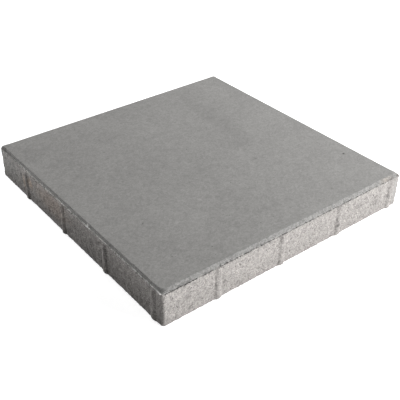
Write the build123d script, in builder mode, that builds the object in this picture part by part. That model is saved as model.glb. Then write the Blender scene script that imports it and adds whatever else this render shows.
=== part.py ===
from build123d import *
import os

# Concrete paving slab, cast in one piece. Millimetres, +Z up, lying on its bed face.
# The origin is the middle of the bed face.

# Body, measured wall to wall without the ribs
side = 398.0
thickness = 50.0
corner_radius = 3.0
bottom_arris = 0.4

# Facet round the walking face, and the narrow ledge that it leaves on top of the walls
facet_width = 3.7
facet_depth = 4.3
ledge_width = 1.6
face_edge_radius = 0.8

# Spacer ribs, the same on every wall: half-round, and fuller towards the bed face.
# Seen from outside, the first one's place runs from the left-hand corner of the wall,
# and the last one's from the right-hand corner. The others are evenly spaced between.
ribs_per_wall = 4
first_rib = 77.5
last_rib = 17.5
rib_foot_width = 11.0
rib_foot_height = 2.0
rib_head_width = 9.0
rib_head_height = 1.4
rib_head_gap = 1.0
rib_root = 2.0

# Worked out from the sizes above
walls = 4
wall_face = -side / 2
ledge_height = thickness - facet_depth
ledge_side = side - 2 * ledge_width
face_side = side - 2 * facet_width
rib_length = ledge_height - rib_head_gap
rib_pitch = (side - first_rib - last_rib) / (ribs_per_wall - 1)
rib_offsets = [first_rib + rib_pitch * number for number in range(ribs_per_wall)]

# One rib, at the middle of the front wall: its crown outside the wall, its root inside
rib_sections = (
    (0, rib_foot_width, rib_foot_height),
    (rib_length, rib_head_width, rib_head_height),
)
with BuildPart() as rib:
    for level, width, height in rib_sections:
        with BuildSketch(Plane.XY.offset(level)):
            with BuildLine():
                crown = ThreePointArc(
                    (-width / 2, wall_face),
                    (0, wall_face - height),
                    (width / 2, wall_face),
                )
                Polyline(
                    crown @ 1,
                    (width / 2, wall_face + rib_root),
                    (-width / 2, wall_face + rib_root),
                    crown @ 0,
                )
            make_face()
    loft(ruled=True)

with BuildPart() as paving_slab:
    # Walls, from the bed face up to the ledge
    with BuildSketch():
        RectangleRounded(side, side, corner_radius)
    extrude(amount=ledge_height)
    chamfer(paving_slab.faces().sort_by(Axis.Z)[0].edges(), bottom_arris)

    # Faceted crown, from the ledge up to the walking face
    with BuildSketch(Plane.XY.offset(ledge_height)):
        RectangleRounded(ledge_side, ledge_side, corner_radius - ledge_width)
    with BuildSketch(Plane.XY.offset(thickness)):
        RectangleRounded(face_side, face_side, corner_radius - ledge_width)
    loft(ruled=True)
    fillet(paving_slab.faces().sort_by(Axis.Z)[-1].edges(), face_edge_radius)

    # Spacer ribs, turned from wall to wall
    with PolarLocations(0, walls):
        with Locations(*[(offset - side / 2, 0) for offset in rib_offsets]):
            add(rib.part)

paving_slab.part.label = "paving_slab"
os.makedirs("parts", exist_ok=True)
export_step(paving_slab.part, "parts/paving_slab.step")
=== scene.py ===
"""Looks of a cast concrete paving slab: its relief, its grit and its finishes."""

import enum
import logging
import math
import random
from dataclasses import dataclass, field

import bmesh
import bpy
from mathutils import Matrix, Vector
from mathutils.geometry import delaunay_2d_cdt


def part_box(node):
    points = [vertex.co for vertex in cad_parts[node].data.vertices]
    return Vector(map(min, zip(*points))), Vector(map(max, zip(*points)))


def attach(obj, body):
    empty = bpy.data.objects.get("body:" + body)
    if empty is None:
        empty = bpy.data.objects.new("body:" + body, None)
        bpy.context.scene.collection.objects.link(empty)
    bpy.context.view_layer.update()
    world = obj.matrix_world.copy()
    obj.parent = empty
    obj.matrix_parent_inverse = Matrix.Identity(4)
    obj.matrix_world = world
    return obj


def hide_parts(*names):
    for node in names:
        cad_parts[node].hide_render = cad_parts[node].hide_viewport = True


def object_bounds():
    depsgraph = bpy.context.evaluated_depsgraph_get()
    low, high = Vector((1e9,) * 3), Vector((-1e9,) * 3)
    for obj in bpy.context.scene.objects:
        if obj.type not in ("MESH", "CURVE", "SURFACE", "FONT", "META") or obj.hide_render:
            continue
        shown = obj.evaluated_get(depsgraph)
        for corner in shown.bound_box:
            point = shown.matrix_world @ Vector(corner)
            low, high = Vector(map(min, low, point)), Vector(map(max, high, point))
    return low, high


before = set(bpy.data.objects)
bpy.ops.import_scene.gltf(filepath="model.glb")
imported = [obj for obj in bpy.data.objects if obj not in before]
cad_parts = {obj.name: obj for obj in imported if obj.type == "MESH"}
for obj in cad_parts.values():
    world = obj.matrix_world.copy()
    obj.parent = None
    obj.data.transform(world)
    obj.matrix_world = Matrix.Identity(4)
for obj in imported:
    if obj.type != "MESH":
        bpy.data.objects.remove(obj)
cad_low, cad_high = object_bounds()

log = logging.getLogger("paving_slab")

MM = 0.001
NODE = "paving_slab"
BODY = "root"

# How far the ribs stand out of the walls at their foot, and how far the grit may.
RIB_HEIGHT = 2 * MM
GRIT_HEIGHT = 0.45 * MM

Colour = tuple[float, float, float]

# Two values of a pattern, and the two results that they give.
Curve = tuple[float, float, float, float]


class Zone(enum.Enum):
    """Parts of the slab's skin that are finished differently."""

    BED = 0
    WALL = 1
    LEDGE = 2
    FACET = 3
    FACE = 4


class Wall(enum.Enum):
    """The walls in turn, counter-clockwise from above."""

    FRONT = 0
    RIGHT = 1
    BACK = 2
    LEFT = 3

    @property
    def next(self) -> "Wall":
        """The wall at this one's right-hand end, seen from outside."""
        return Wall((self.value + 1) % 4)


class Layer(enum.Enum):
    """Names of the attributes that the meshes carry."""

    ZONE = "zone"
    DEPTH = "relief_depth"
    BREAKS = "edge_breaks"
    # The tone paints light and shade into the colour, and darkens the ribs.
    TONE = "tone"


class Plug(enum.Enum):
    """Types of a node group's sockets."""

    NUMBER = "NodeSocketFloat"
    WHOLE = "NodeSocketInt"
    VECTOR = "NodeSocketVector"
    SHAPE = "NodeSocketGeometry"


def grey(red: int, green: int, blue: int) -> Colour:
    """Turns a colour written in screen numbers into a linear one.

    Args:
        red: Red from 0 to 255.
        green: Green from 0 to 255.
        blue: Blue from 0 to 255.

    Returns:
        The same colour as linear numbers from 0 to 1.
    """
    linear = []
    for value in (red, green, blue):
        share = value / 255
        low = share <= 0.04045
        linear.append(share / 12.92 if low else ((share + 0.055) / 1.055) ** 2.4)
    return (linear[0], linear[1], linear[2])


class Sheet:
    """A node tree, with short ways to add its nodes and join them."""

    def __init__(self, tree: bpy.types.NodeTree) -> None:
        """Keeps the tree, which is a shader or geometry node tree."""
        self.tree = tree

    def node(self, kind: str, **settings: object) -> bpy.types.Node:
        """Adds a node.

        Args:
            kind: The node's type name.
            settings: Properties to set on it.

        Returns:
            The new node.
        """
        made = self.tree.nodes.new(kind)
        for name, value in settings.items():
            setattr(made, name, value)
        return made

    def feed(self, socket: bpy.types.NodeSocket, value: object) -> None:
        """Joins a socket to another one, or sets its plain value.

        Args:
            socket: The input to feed.
            value: An output socket, a number, a vector, a colour or a data block.
        """
        if isinstance(value, bpy.types.NodeSocket):
            self.tree.links.new(value, socket)
        else:
            socket.default_value = value

    def wired(
        self, kind: str, inputs: dict[str | int, object], **settings: object
    ) -> bpy.types.Node:
        """Adds a node and feeds its inputs.

        Args:
            kind: The node's type name.
            inputs: What each input gets, by the input's name or number.
            settings: Properties to set on the node.

        Returns:
            The new node.
        """
        made = self.node(kind, **settings)
        for key, value in inputs.items():
            self.feed(made.inputs[key], value)
        return made

    def group(
        self, tree: bpy.types.ShaderNodeTree, place: bpy.types.NodeSocket, **values: object
    ) -> bpy.types.Node:
        """Adds a shared group that reads the position, with its other values."""
        return self.wired("ShaderNodeGroup", {"Vector": place, **values}, node_tree=tree)

    def math(self, operation: str, *values: object, clamp: bool = False) -> bpy.types.NodeSocket:
        """Adds a Math node.

        Args:
            operation: Its operation, such as ADD.
            values: Its inputs, as sockets or numbers.
            clamp: Whether the result is kept between 0 and 1.

        Returns:
            The result's socket.
        """
        inputs = dict(enumerate(values))
        made = self.wired("ShaderNodeMath", inputs, operation=operation, use_clamp=clamp)
        return made.outputs[0]

    def vector(self, operation: str, *values: object) -> bpy.types.NodeSocket:
        """Adds a Vector Math node.

        Args:
            operation: Its operation, such as SCALE.
            values: Its inputs, in the order in which the operation shows them.

        Returns:
            The result's socket.
        """
        shown = (0, 3) if operation == "SCALE" else (0, 1)
        made = self.wired("ShaderNodeVectorMath", dict(zip(shown, values)), operation=operation)
        single = operation in ("LENGTH", "DOT_PRODUCT")
        return made.outputs["Value" if single else "Vector"]

    def noise(
        self, place: bpy.types.NodeSocket, size: object, detail: float = 2.0, rough: float = 0.5
    ) -> bpy.types.NodeSocket:
        """Adds soft noise.

        Args:
            place: The position, in metres.
            size: The size of its blotches in metres, as a number or a socket.
            detail: How many finer layers it has.
            rough: How strong the finer layers are.

        Returns:
            The noise's value, about 0.5 on average.
        """
        inputs = {"Vector": place, "Scale": self.pitch(size), "Detail": detail, "Roughness": rough}
        return self.wired("ShaderNodeTexNoise", inputs, noise_dimensions="3D").outputs[0]

    def cells(self, place: bpy.types.NodeSocket, size: object) -> bpy.types.Node:
        """Adds a Voronoi node whose cells have that size in metres, a number or a socket."""
        inputs = {"Vector": place, "Scale": self.pitch(size)}
        return self.wired("ShaderNodeTexVoronoi", inputs, feature="F1")

    def pitch(self, size: object) -> object:
        """Turns a pattern's size into its scale.

        Args:
            size: The size in metres, as a number or a socket.

        Returns:
            One over it, as a number or a socket.
        """
        if isinstance(size, bpy.types.NodeSocket):
            return self.math("DIVIDE", 1.0, size)
        return 1.0 / float(size)

    def remap(
        self, value: object, low: float, high: float, start: float = 0.0, end: float = 1.0
    ) -> bpy.types.NodeSocket:
        """Adds a smooth Map Range node.

        Args:
            value: What is mapped.
            low: The value that gives start.
            high: The value that gives end.
            start: The result at low and below.
            end: The result at high and above.

        Returns:
            The result's socket.
        """
        inputs = {"Value": value, "From Min": low, "From Max": high, "To Min": start, "To Max": end}
        made = self.wired("ShaderNodeMapRange", inputs, interpolation_type="SMOOTHSTEP")
        return made.outputs["Result"]

    def around(self, value: bpy.types.NodeSocket, swing: object) -> bpy.types.NodeSocket:
        """Centres a value that lies about 0.5 on 0, and multiplies it by the swing."""
        return self.math("MULTIPLY", self.math("SUBTRACT", value, 0.5), swing)

    def blend(
        self, first: bpy.types.NodeSocket, second: bpy.types.NodeSocket, share: float
    ) -> bpy.types.NodeSocket:
        """Adds up two values, of which the second has that share of the whole."""
        first = self.math("MULTIPLY", first, 1.0 - share)
        return self.math("ADD", first, self.math("MULTIPLY", second, share))

    def between(self, place: object, low: object, high: object) -> bpy.types.NodeSocket:
        """Keeps a position inside the box with those corners."""
        return self.vector("MINIMUM", self.vector("MAXIMUM", place, low), high)

    def mix(
        self, share: object, first: bpy.types.NodeSocket, second: bpy.types.NodeSocket
    ) -> bpy.types.NodeSocket:
        """Mixes two colours, of which the second has that share, a number or a socket."""
        inputs = {0: share, 4: first, 5: second}
        return self.wired("ShaderNodeMix", inputs, data_type="VECTOR").outputs[1]

    def read(self, layer: Layer, kind: str = "FLOAT") -> bpy.types.NodeSocket:
        """Reads a FLOAT or INT that the mesh carries, in a geometry node tree."""
        made = self.wired("GeometryNodeInputNamedAttribute", {"Name": layer.value}, data_type=kind)
        return made.outputs["Attribute"]

    def chance(self, kind: str, least: object, most: object, seed: int) -> bpy.types.NodeSocket:
        """Adds random values between two bounds.

        Args:
            kind: FLOAT or FLOAT_VECTOR.
            least: The lower bound.
            most: The upper bound.
            seed: The seed.

        Returns:
            The value's socket.
        """
        made = self.wired("FunctionNodeRandomValue", {"Seed": seed}, data_type=kind)
        shown = [socket for socket in made.inputs if socket.enabled]
        self.feed(shown[0], least)
        self.feed(shown[1], most)
        return next(socket for socket in made.outputs if socket.enabled)

    def seen(self) -> bpy.types.NodeSocket:
        """Tells rays that show something in the picture from those that light the slab.

        Returns:
            1 for rays from the camera, from a mirror or through glass, and 0 for others.
        """
        path = self.node("ShaderNodeLightPath")
        seen = self.math("ADD", path.outputs["Is Camera Ray"], path.outputs["Is Glossy Ray"])
        return self.math("ADD", seen, path.outputs["Is Transmission Ray"], clamp=True)


def add_object(name: str, data: bpy.types.ID) -> bpy.types.Object:
    """Adds an object to the scene.

    Args:
        name: The object's name.
        data: Its mesh, light or camera.

    Returns:
        The object, at the origin.
    """
    made = bpy.data.objects.new(name, data)
    bpy.context.scene.collection.objects.link(made)
    return made


def new_material(name: str) -> tuple[bpy.types.Material, Sheet]:
    """Starts an empty material.

    Args:
        name: The material's name.

    Returns:
        The material, and its node tree as a sheet.
    """
    material = bpy.data.materials.new(name)
    material.use_nodes = True
    sheet = Sheet(material.node_tree)
    sheet.tree.nodes.clear()
    return material, sheet


def tie(piece: bpy.types.Object) -> None:
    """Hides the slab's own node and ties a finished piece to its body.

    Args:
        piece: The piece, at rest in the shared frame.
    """
    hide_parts(NODE)
    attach(piece, BODY)


def open_group(
    name: str, kind: str, inputs: dict[str, tuple[Plug, object]], outputs: dict[str, Plug]
) -> tuple[Sheet, bpy.types.Node, bpy.types.Node]:
    """Starts a node group with named sockets.

    Args:
        name: The group's name.
        kind: ShaderNodeTree or GeometryNodeTree.
        inputs: Each input's name, with its socket type and its usual value or None.
        outputs: Each output's name, with its socket type.

    Returns:
        The group as a sheet, its input node and its output node.
    """
    tree = bpy.data.node_groups.new(name, kind)
    for label, (plug, value) in inputs.items():
        socket = tree.interface.new_socket(label, in_out="INPUT", socket_type=plug.value)
        if value is not None:
            socket.default_value = value
    for label, plug in outputs.items():
        tree.interface.new_socket(label, in_out="OUTPUT", socket_type=plug.value)
    sheet = Sheet(tree)
    return sheet, sheet.node("NodeGroupInput"), sheet.node("NodeGroupOutput")


def run_nodes(
    piece: bpy.types.Object, tree: bpy.types.GeometryNodeTree, values: dict[str, object]
) -> None:
    """Runs a geometry node tree on a piece and keeps the result as its plain mesh.

    Args:
        piece: The object whose mesh goes in and is replaced.
        tree: The geometry node tree.
        values: The tree's inputs by name, apart from the geometry.
    """
    modifier = piece.modifiers.new(tree.name, "NODES")
    modifier.node_group = tree
    for socket in tree.interface.items_tree:
        if socket.in_out == "INPUT" and socket.name in values:
            modifier[socket.identifier] = values[socket.name]
    bpy.context.view_layer.update()
    depsgraph = bpy.context.evaluated_depsgraph_get()
    made = bpy.data.meshes.new_from_object(
        piece.evaluated_get(depsgraph), preserve_all_data_layers=True, depsgraph=depsgraph
    )
    piece.modifiers.remove(modifier)
    before = piece.data
    piece.data = made
    bpy.data.meshes.remove(before)
    made.name = piece.name


class SharedGroups:
    """The shader node groups that more than one finish uses, each built once.

    A mark has its full strength up to its core, a share of its reach, and its rim wanders.
    The fine values are shares of a grain's size, tone and height, and its dome slopes down
    between two shares of its size. The smallest pore and a pore's rim are shares of a radius.
    """

    mark_wander: float = 6 * MM
    mark_core: float = 0.2
    fine_size: float = 0.7
    fine_tone: float = 0.45
    fine_height: float = 0.3
    grain_dome: tuple[float, float] = (0.1, 0.75)
    smallest_pore: float = 0.4
    pore_rim: tuple[float, float] = (0.75, 1.1)

    def __init__(self) -> None:
        """Builds the groups."""
        self.mottle = self.build_mottle()
        self.grain = self.build_grain()
        self.pores = self.build_pores()
        self.mark = self.build_mark()

    def build_mark(self) -> bpy.types.ShaderNodeTree:
        """Builds one soft-edged mark, such as a press mark, a stain or a chip.

        Returns:
            The group, whose Mask is 1 in the middle of the mark and 0 outside it.
        """
        sheet, given, result = open_group(
            "soft_mark",
            "ShaderNodeTree",
            {
                "Vector": (Plug.VECTOR, None),
                "Centre": (Plug.VECTOR, None),
                "Reach": (Plug.VECTOR, None),
                "Ragged": (Plug.NUMBER, 0.5),
            },
            {"Mask": Plug.NUMBER},
        )
        place = given.outputs["Vector"]
        away = sheet.vector("SUBTRACT", place, given.outputs["Centre"])
        away = sheet.vector("LENGTH", sheet.vector("DIVIDE", away, given.outputs["Reach"]))
        wander = sheet.noise(place, self.mark_wander, detail=3.0, rough=0.6)
        away = sheet.math("ADD", away, sheet.around(wander, given.outputs["Ragged"]))
        mask = sheet.remap(away, self.mark_core, 1.0, start=1.0, end=0.0)
        sheet.feed(result.inputs["Mask"], mask)
        return sheet.tree

    def build_mottle(self) -> bpy.types.ShaderNodeTree:
        """Builds the soft clouds that cement shows.

        Returns:
            The group, whose Shade is a swing about 0.
        """
        sheet, given, result = open_group(
            "cement_mottle",
            "ShaderNodeTree",
            {
                "Vector": (Plug.VECTOR, None),
                "Size": (Plug.NUMBER, 0.05),
                "Swing": (Plug.NUMBER, 0.1),
            },
            {"Shade": Plug.NUMBER},
        )
        place = given.outputs["Vector"]
        clouds = sheet.noise(place, given.outputs["Size"], detail=3.0, rough=0.55)
        sheet.feed(result.inputs["Shade"], sheet.around(clouds, given.outputs["Swing"]))
        return sheet.tree

    def build_grain(self) -> bpy.types.ShaderNodeTree:
        """Builds sand grains of differing tone.

        Returns:
            The group, with each grain's Shade about 0 and a Height from 0 to 1.
        """
        sheet, given, result = open_group(
            "sand_grain",
            "ShaderNodeTree",
            {
                "Vector": (Plug.VECTOR, None),
                "Size": (Plug.NUMBER, 0.001),
                "Swing": (Plug.NUMBER, 0.1),
            },
            {"Shade": Plug.NUMBER, "Height": Plug.NUMBER},
        )
        place, size = given.outputs["Vector"], given.outputs["Size"]
        grains = sheet.cells(place, size)
        tone = sheet.wired("ShaderNodeSeparateColor", {0: grains.outputs["Color"]})
        fine = sheet.noise(place, sheet.math("MULTIPLY", size, self.fine_size), rough=0.6)
        dome = sheet.remap(grains.outputs["Distance"], *self.grain_dome, start=1.0, end=0.0)
        shade = sheet.blend(tone.outputs[0], fine, self.fine_tone)
        sheet.feed(result.inputs["Shade"], sheet.around(shade, given.outputs["Swing"]))
        sheet.feed(result.inputs["Height"], sheet.blend(dome, fine, self.fine_height))
        return sheet.tree

    def build_pores(self) -> bpy.types.ShaderNodeTree:
        """Builds small round air holes, of which only some cells have one.

        Returns:
            The group, whose Mask is 1 in a hole.
        """
        sheet, given, result = open_group(
            "air_pores",
            "ShaderNodeTree",
            {
                "Vector": (Plug.VECTOR, None),
                "Spacing": (Plug.NUMBER, 0.006),
                "Share": (Plug.NUMBER, 0.3),
                "Radius": (Plug.NUMBER, 0.12),
            },
            {"Mask": Plug.NUMBER},
        )
        radius = given.outputs["Radius"]
        holes = sheet.cells(given.outputs["Vector"], given.outputs["Spacing"])
        chance = sheet.wired("ShaderNodeSeparateColor", {0: holes.outputs["Color"]})
        there = sheet.math("LESS_THAN", chance.outputs[0], given.outputs["Share"])
        reach = sheet.math("MULTIPLY", chance.outputs[1], radius)
        reach = sheet.math("ADD", reach, sheet.math("MULTIPLY", radius, self.smallest_pore))
        inside = sheet.math("DIVIDE", holes.outputs["Distance"], reach)
        round_hole = sheet.remap(inside, *self.pore_rim, start=1.0, end=0.0)
        sheet.feed(result.inputs["Mask"], sheet.math("MULTIPLY", there, round_hole))
        return sheet.tree


@dataclass(frozen=True)
class Mark:
    """A soft mark on the skin: its middle, its half-lengths and its strength. Metres.

    A swing of -0.2 darkens the middle by a fifth, and 0.2 lightens it. A tint colours it,
    and smooth is the share of the grain that it hides.
    """

    centre: tuple[float, float, float]
    reach: tuple[float, float, float]
    swing: float
    ragged: float = 0.9
    tint: Colour | None = None
    smooth: float = 0.0

    @classmethod
    def on_face(
        cls, x: float, y: float, long: float, wide: float, swing: float, **more: object
    ) -> "Mark":
        """Places a mark on the walking face.

        Args:
            x: Its middle along X, in millimetres.
            y: Its middle along Y, in millimetres.
            long: Its half-length along X, in millimetres.
            wide: Its half-length along Y, in millimetres.
            swing: Its strength.
            more: Other fields.

        Returns:
            The mark.
        """
        deep = 20 * MM
        return cls((x * MM, y * MM, cad_high.z), (long * MM, wide * MM, deep), swing, **more)

    @classmethod
    def on_wall(
        cls,
        wall: Wall,
        along: float,
        height: float,
        long: float,
        tall: float,
        swing: float,
        **more: object,
    ) -> "Mark":
        """Places a mark on the front or the left wall.

        Args:
            wall: The wall.
            along: Its middle, from the wall's left-hand corner, in millimetres.
            height: Its middle's height, in millimetres.
            long: Its half-length along the wall, in millimetres.
            tall: Its half-height, in millimetres.
            swing: Its strength.
            more: Other fields.

        Returns:
            The mark.
        """
        deep = 8 * MM
        half = cad_high.x - RIB_HEIGHT
        along, height, long, tall = (number * MM for number in (along, height, long, tall))
        if wall is Wall.FRONT:
            return cls((along - half, -half, height), (long, deep, tall), swing, **more)
        return cls((-half, half - along, height), (deep, long, tall), swing, **more)


@dataclass(frozen=True)
class ConcreteFinish:
    """One concrete surface: its colour, clouds, sand grains, air holes, relief and marks.

    Sizes are in metres, and swings are shares of the colour's brightness. The painted light
    drift is how much brighter the colour gets per metre along X, Y and Z: a painted gradient
    of light across the surface.
    """

    name: str
    colour: Colour
    roughness: float = 0.9
    cloud_size: float = 0.06
    cloud_swing: float = 0.1
    patch_size: float = 0.012
    patch_swing: float = 0.06
    grain_size: float = 0.0011
    grain_swing: float = 0.12
    grain_relief: float = 0.0001
    coarse_size: float = 0.003
    coarse_swing: float = 0.0
    pore_spacing: float = 0.007
    pore_share: float = 0.2
    pore_radius: float = 0.1
    pore_shade: float = 0.6
    specular: float = 0.25
    painted_light_drift: tuple[float, float, float] = (0.0, 0.0, 0.0)
    marks: tuple[Mark, ...] = ()
    uses_tone: bool = False
    tone_wander: float = 0.005
    tone_curve: Curve = (0.3, 0.7, 0.5, 1.5)
    crumb_size: float = 0.0032
    crumb_levels: tuple[float, float] = (0.5, 0.58)
    crumb_swing: float = 0.0
    darkest_crumb: float = 0.8
    streak_size: float = 0.003
    streak_swing: float = 0.0
    streak_stretch: float = 0.3
    palest: float = 0.9
    roughness_swing: float = 0.1
    pore_depth: float = 2.0

    def build(self, groups: SharedGroups) -> bpy.types.Material:
        """Builds the material.

        Args:
            groups: The shared node groups.

        Returns:
            The material.
        """
        material, sheet = new_material(self.name)
        place = sheet.node("ShaderNodeTexCoord").outputs["Object"]
        grain = sheet.group(groups.grain, place, Size=self.grain_size, Swing=self.grain_swing)
        pores = sheet.group(
            groups.pores,
            place,
            Spacing=self.pore_spacing,
            Share=self.pore_share,
            Radius=self.pore_radius,
        )
        holes, height = pores.outputs["Mask"], grain.outputs["Height"]
        total = self.brightness(sheet, groups, place, grain.outputs["Shade"], holes)
        # The tone paints light and shade on the walls, the ledge and the facet.
        tone = self.shading_tone(sheet, place) if self.uses_tone else 1.0
        total = sheet.math("MULTIPLY", total, tone)
        # Painted shade: dark dots for the shadowed hollows of crumbled edges.
        if self.crumb_swing:
            total = sheet.math("MULTIPLY", total, self.crumb_hollow_shade(sheet, place))
        colour = sheet.vector("SCALE", self.colour, total)
        plain = sheet.vector("SCALE", self.colour, tone)
        for mark in self.marks:
            colour = self.add_mark(sheet, groups, place, colour, plain, mark)
        colour = sheet.vector("MINIMUM", colour, (self.palest,) * 3)

        rough = sheet.math("ADD", self.roughness, sheet.around(height, self.roughness_swing))
        hollow = sheet.math("MULTIPLY", holes, self.pore_depth)
        relief = sheet.math("SUBTRACT", height, hollow)
        inputs = {"Strength": 1.0, "Distance": self.grain_relief, "Height": relief}
        bump = sheet.wired("ShaderNodeBump", inputs)
        inputs = {
            "Base Color": colour,
            "Roughness": rough,
            "Specular IOR Level": self.specular,
            "Normal": bump.outputs["Normal"],
        }
        shader = sheet.wired("ShaderNodeBsdfPrincipled", inputs)
        sheet.wired("ShaderNodeOutputMaterial", {"Surface": shader.outputs[0]})
        return material

    def brightness(
        self,
        sheet: Sheet,
        groups: SharedGroups,
        place: bpy.types.NodeSocket,
        grain: bpy.types.NodeSocket,
        holes: bpy.types.NodeSocket,
    ) -> bpy.types.NodeSocket:
        """Adds up everything that makes the bare concrete lighter or darker.

        Args:
            sheet: The material's tree.
            groups: The shared node groups.
            place: The position.
            grain: The sand grains' shade.
            holes: The air holes' mask.

        Returns:
            The brightness, about 1.
        """
        total = 1.0
        for group, size, swing in (
            (groups.mottle, self.cloud_size, self.cloud_swing),
            (groups.mottle, self.patch_size, self.patch_swing),
            (groups.grain, self.coarse_size, self.coarse_swing),
        ):
            if swing:
                layer = sheet.group(group, place, Size=size, Swing=swing)
                total = sheet.math("ADD", total, layer.outputs["Shade"])
        total = sheet.math("ADD", total, grain)
        if self.streak_swing:
            drawn = sheet.vector("MULTIPLY", place, (1.0, 1.0, self.streak_stretch))
            streaks = sheet.noise(drawn, self.streak_size, rough=0.6)
            total = sheet.math("ADD", total, sheet.around(streaks, self.streak_swing))
        drop = sheet.math("MULTIPLY", holes, 1.0 - self.pore_shade)
        total = sheet.math("MULTIPLY", total, sheet.math("SUBTRACT", 1.0, drop))
        # Painted light: the colour brightens steadily along the drift, as if more light fell on one
        # side.
        if any(self.painted_light_drift):
            total = sheet.math("ADD", total, sheet.vector("DOT_PRODUCT", place, self.painted_light_drift))
        return total

    def shading_tone(self, sheet: Sheet, place: bpy.types.NodeSocket) -> bpy.types.NodeSocket:
        """Reads the tone that the mesh carries, and makes its edges wander.

        Args:
            sheet: The material's tree.
            place: The position.

        Returns:
            The tone, 1 where no light, shade or darkening is painted.
        """
        tone = sheet.node("ShaderNodeAttribute", attribute_name=Layer.TONE.value)
        swing = sheet.math("SUBTRACT", tone.outputs["Fac"], 1.0)
        wander = sheet.noise(place, self.tone_wander, detail=3.0, rough=0.6)
        ragged = sheet.remap(wander, *self.tone_curve)
        return sheet.math("ADD", 1.0, sheet.math("MULTIPLY", swing, ragged))

    def crumb_hollow_shade(self, sheet: Sheet, place: bpy.types.NodeSocket) -> bpy.types.NodeSocket:
        """Paints shade into small dots where an edge has crumbled, for the shade in its hollows.

        Args:
            sheet: The material's tree.
            place: The position.

        Returns:
            The shade, 1 where the edge is whole.
        """
        breaks = sheet.node("ShaderNodeAttribute", attribute_name=Layer.BREAKS.value)
        crumbs = sheet.noise(place, self.crumb_size, rough=0.6)
        dots = sheet.remap(crumbs, *self.crumb_levels, end=self.crumb_swing)
        dots = sheet.math("MULTIPLY", breaks.outputs["Fac"], dots)
        return sheet.math("SUBTRACT", 1.0, sheet.math("MINIMUM", dots, self.darkest_crumb))

    def add_mark(
        self,
        sheet: Sheet,
        groups: SharedGroups,
        place: bpy.types.NodeSocket,
        colour: bpy.types.NodeSocket,
        plain: bpy.types.NodeSocket,
        mark: Mark,
    ) -> bpy.types.NodeSocket:
        """Adds a mark to the colour.

        Args:
            sheet: The material's tree.
            groups: The shared node groups.
            place: The position.
            colour: The colour so far.
            plain: The colour without grain.
            mark: The mark.

        Returns:
            The colour with the mark.
        """
        node = sheet.group(
            groups.mark, place, Centre=mark.centre, Reach=mark.reach, Ragged=mark.ragged
        )
        tint = mark.tint or (1.0, 1.0, 1.0)
        change = tuple((1.0 + mark.swing) * part for part in tint)
        inner = sheet.mix(mark.smooth, colour, plain) if mark.smooth else colour
        changed = sheet.vector("MULTIPLY", inner, change)
        return sheet.mix(node.outputs["Mask"], colour, changed)


@dataclass(frozen=True)
class RibShape:
    """The half-round spacer ribs, fuller towards the bed face. Metres."""

    places: tuple[float, ...] = (77.5 * MM, 178.5 * MM, 279.5 * MM, 380.5 * MM)
    foot_width: float = 11 * MM
    foot_height: float = RIB_HEIGHT
    head_width: float = 9 * MM
    head_height: float = 1.4 * MM
    head_gap: float = 1 * MM
    reach: float = 7 * MM

    def height(self, offset: float, share: float) -> float:
        """Says how far a rib stands out of the wall.

        Args:
            offset: Distance from the rib's middle line, along the wall.
            share: 0 at the rib's foot and 1 at its head.

        Returns:
            The height above the wall.
        """
        half = (self.foot_width + (self.head_width - self.foot_width) * share) / 2
        rise = self.foot_height + (self.head_height - self.foot_height) * share
        if abs(offset) >= half or share > 1:
            return 0.0
        radius = (half * half + rise * rise) / (2 * rise)
        return math.sqrt(radius * radius - offset * offset) - (radius - rise)


def blend(start: float, end: float, share: float) -> float:
    """Goes evenly from one number, at share 0 and below, to another, at share 1 and above."""
    return start + (end - start) * min(1.0, max(0.0, share))


@dataclass(frozen=True)
class WallWearAndShading:
    """How one wall is shaded and worn: tones that multiply its colour, and its wear.

    The tones paint light and shade. Those of an end are of its foot, its middle height and
    its top, so that the wall gets darker or lighter with height and along its length. The wear
    is that of the left-hand end and of the right-hand end. Lengths are in metres, and a rib's
    core and blur are shares of half its width.
    """

    # An end's tones paint shade, darker towards the foot, and light towards the top.
    left_end: tuple[float, float, float] = (0.96, 1.0, 1.0)
    right_end: tuple[float, float, float] = (0.96, 1.0, 1.0)
    # The ledge and lip tones paint a highlight on the ledge and on the wall's top edge.
    ledge: tuple[float, float] = (1.0, 1.0)
    facet: float = 1.0
    lip: float = 1.0
    ledge_rise: float = 0.0
    rib_shift: float = 0.0
    rib: float = 0.95
    rib_head: float = 0.88
    # Painted shade on a rib's right-hand flank.
    rib_right: float = 1.0
    wear: tuple[float, float] = (0.6, 0.6)
    middle: float = 24 * MM
    top: float = 45 * MM
    head_start: float = 31 * MM
    head_end: float = 35 * MM
    rib_core: float = 0.9
    rib_blur: float = 0.3

    def wall_tone(self, share: float, height: float) -> float:
        """Gives the plain wall's tone, painted shade and light that change with height and along the
        wall.

        Args:
            share: 0 at the wall's left-hand end and 1 at its right-hand end.
            height: Height above the bed face.

        Returns:
            The tone.
        """
        foot, middle, top = (blend(*pair, share) for pair in zip(self.left_end, self.right_end))
        if height < self.middle:
            return blend(foot, middle, height / self.middle)
        return blend(middle, top, (height - self.middle) / (self.top - self.middle))

    def wear_at(self, share: float) -> float:
        """Gives the wear, from share 0 at the left-hand end to share 1 at the right-hand end."""
        return blend(*self.wear, share)

    def rib_tone(self, offset: float, half_width: float, height: float) -> float:
        """Gives a rib's tone: darker towards its head, with painted shade on its right-hand flank.

        Args:
            offset: Distance from the rib's middle line, along the wall.
            half_width: Half of the rib's width.
            height: Height above the bed face.

        Returns:
            The tone, 1 beside the rib.
        """
        up = (height - self.head_start) / (self.head_end - self.head_start)
        tone = blend(self.rib, self.rib_head, up)
        # Painted shade on the right-hand flank.
        if offset > 0:
            tone *= self.rib_right
        return blend(tone, 1.0, (abs(offset) / half_width - self.rib_core) / self.rib_blur)


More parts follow.
